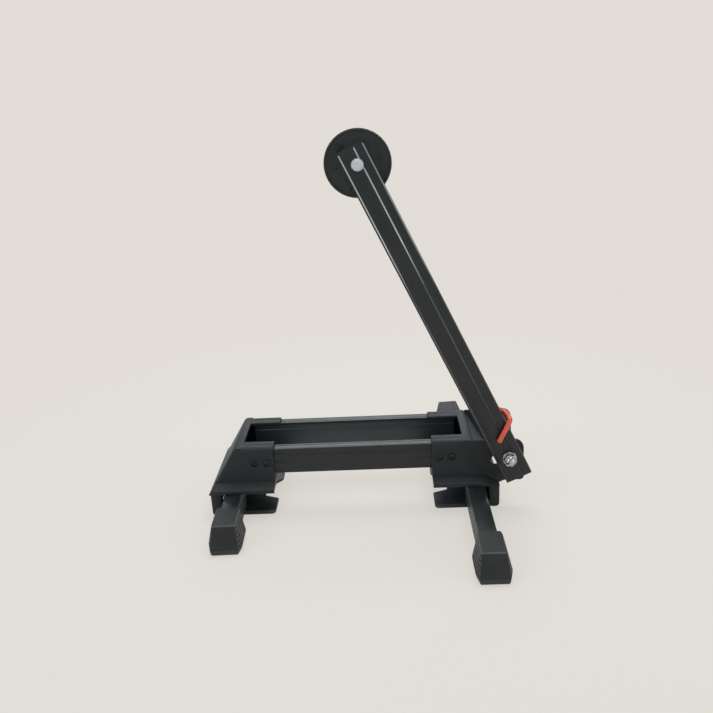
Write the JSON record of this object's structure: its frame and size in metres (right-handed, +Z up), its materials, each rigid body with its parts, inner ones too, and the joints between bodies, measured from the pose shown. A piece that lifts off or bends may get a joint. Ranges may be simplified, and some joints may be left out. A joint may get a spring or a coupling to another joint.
{
  "type": "floor bike rack",
  "caption": "Floor bike rack with a railed wheel slot, swinging legs on rubber feet, and a folding arm that carries a disc beside the wheel.",
  "frame": {"origin": "centre of the bounding box's bottom face, on the floor", "axes": "+X along the rails towards the arm's hinge, +Y away from the side the arm is on, +Z up"},
  "size_m": [0.4928, 0.561, 0.5743],
  "materials": {
    "anodised_black": "black anodised, fine ribs, satin",
    "moulded_black": "moulded, satin",
    "rubber_black": "matt rubber",
    "black_steel": "black oxide",
    "bright_chrome": "polished",
    "zinc_steel": "zinc plated",
    "red_vinyl": "soft satin dip",
    "pale_plastic": "pale grey, smooth",
    "disc_black": "moulded, satin"
  },
  "bodies": {
    "base": {"near_rail": "anodised_black", "far_rail": "anodised_black", "right_end_bracket": "moulded_black", "left_end_bracket": "moulded_black", "right_floor_plate": "moulded_black", "left_floor_plate": "moulded_black", "near_left_bracket_screw_1": "black_steel", "near_left_bracket_screw_2": "black_steel", "near_right_bracket_screw_1": "black_steel", "near_right_bracket_screw_2": "black_steel", "far_left_bracket_screw_1": "black_steel", "far_left_bracket_screw_2": "black_steel", "far_right_bracket_screw_1": "black_steel", "far_right_bracket_screw_2": "black_steel", "near_left_nut_plate": "zinc_steel", "near_right_nut_plate": "zinc_steel", "far_left_nut_plate": "zinc_steel", "far_right_nut_plate": "zinc_steel", "near_left_pivot_bolt": "black_steel", "near_right_pivot_bolt": "black_steel", "far_left_pivot_bolt": "black_steel", "far_right_pivot_bolt": "black_steel", "near_left_pivot_clinch_nut": "zinc_steel", "near_right_pivot_clinch_nut": "zinc_steel", "far_left_pivot_clinch_nut": "zinc_steel", "far_right_pivot_clinch_nut": "zinc_steel", "near_left_pivot_bush": "zinc_steel", "near_right_pivot_bush": "zinc_steel", "far_left_pivot_bush": "zinc_steel", "far_right_pivot_bush": "zinc_steel"},
    "folding_arm": {"arm": "anodised_black", "arm_top_plug": "moulded_black", "arm_bottom_plug": "moulded_black", "hinge_bolt": "black_steel", "hinge_bush": "pale_plastic", "hinge_spacer_washer": "zinc_steel", "hinge_face_washer": "bright_chrome", "hinge_acorn_nut": "bright_chrome", "disc_spacer": "zinc_steel", "disc_axle_bolt": "pale_plastic", "disc_washer": "zinc_steel", "disc_lock_nut": "zinc_steel"},
    "turning_disc": {"spoke_disc": "disc_black"},
    "lock_pin": {"lock_pin_wire": "zinc_steel", "lock_pin_sleeve": "red_vinyl"},
    "near_left_support": {"near_left_leg": "anodised_black", "near_left_foot": "rubber_black"},
    "near_right_support": {"near_right_leg": "anodised_black", "near_right_foot": "rubber_black"},
    "far_left_support": {"far_left_leg": "anodised_black", "far_left_foot": "rubber_black"},
    "far_right_support": {"far_right_leg": "anodised_black", "far_right_foot": "rubber_black"}
  },
  "joints": [
    {"name": "arm_fold", "type": "hinge", "parent": "base", "child": "folding_arm", "pos_m": [0.213, -0.0763, 0.09], "axis": [0, -1, 0], "range_deg": [0, 62]},
    {"name": "disc_turn", "type": "hinge", "parent": "folding_arm", "child": "turning_disc", "pos_m": [0.00735, -0.0634, 0.52781], "axis": [0, 1, 0], "continuous": true},
    {"name": "lock_pin_swing", "type": "hinge", "parent": "folding_arm", "child": "lock_pin", "pos_m": [0.19859, -0.0795, 0.12256], "axis": [0, 1, 0], "range_deg": [0, 85]},
    {"name": "near_left_leg_swing", "type": "hinge", "parent": "base", "child": "near_left_support", "pos_m": [-0.2089, -0.049, 0.0225], "axis": [0, 0, 1], "range_deg": [-1.8, 88.2]},
    {"name": "near_right_leg_swing", "type": "hinge", "parent": "base", "child": "near_right_support", "pos_m": [0.1641, -0.049, 0.0225], "axis": [0, 0, 1], "range_deg": [-90, 0]},
    {"name": "far_left_leg_swing", "type": "hinge", "parent": "base", "child": "far_left_support", "pos_m": [-0.2089, 0.049, 0.0225], "axis": [0, 0, 1], "range_deg": [-90, 0]},
    {"name": "far_right_leg_swing", "type": "hinge", "parent": "base", "child": "far_right_support", "pos_m": [0.1641, 0.049, 0.0225], "axis": [0, 0, 1], "range_deg": [-4.3, 85.7]}
  ]
}
